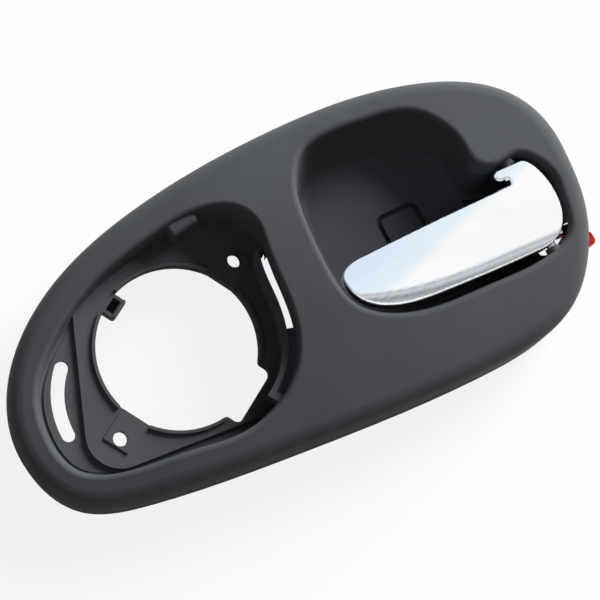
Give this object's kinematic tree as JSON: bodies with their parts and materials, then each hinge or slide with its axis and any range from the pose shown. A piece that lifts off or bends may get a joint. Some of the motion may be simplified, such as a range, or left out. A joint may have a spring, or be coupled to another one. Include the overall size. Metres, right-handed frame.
{
  "type": "car interior door handle",
  "caption": "Egg-shaped grey plastic bezel with a tilted speaker pod and a finger cup, and a chrome lever that is pulled to open the car door from inside.",
  "frame": {"origin": "middle of the bezel's outline, on the plane of the rim that lies on the door panel", "axes": "+X along the bezel from the speaker pod to the hinge, +Y across it from the lever to the finger cup, +Z out of the door panel"},
  "size_m": [0.2555, 0.1281, 0.033],
  "materials": {
    "moulded_plastic": "fine moulded grain",
    "chrome_plate": "bright plating",
    "red_plastic": "as moulded",
    "steel": "drawn wire and rod",
    "soft_rubber": "matte"
  },
  "bodies": {
    "bezel": {"bezel": "moulded_plastic", "screw_cover": "moulded_plastic", "hinge_pin": "steel", "return_spring": "steel", "lever_bumper": "soft_rubber"},
    "lever": {"lever": "chrome_plate"},
    "rod_clip": {"rod_clip": "red_plastic"}
  },
  "joints": [
    {"name": "lever_pivot", "type": "hinge", "parent": "bezel", "child": "lever", "pos_m": [0.1013, -0.01225, 0.021], "axis": [0, 1, 0], "range_deg": [0, 35], "stiffness_Nm_per_rad": 0.15, "springref_deg": -28.65, "deforming": ["return_spring"]},
    {"name": "rod_clip_swivel", "type": "hinge", "parent": "lever", "child": "rod_clip", "pos_m": [0.1143, -0.02825, 0.011], "axis": [0, 1, 0], "range_deg": [-36, 1]}
  ],
  "couplings": [
    {"joint": "rod_clip_swivel", "follows": "lever_pivot", "ratio": -1}
  ]
}
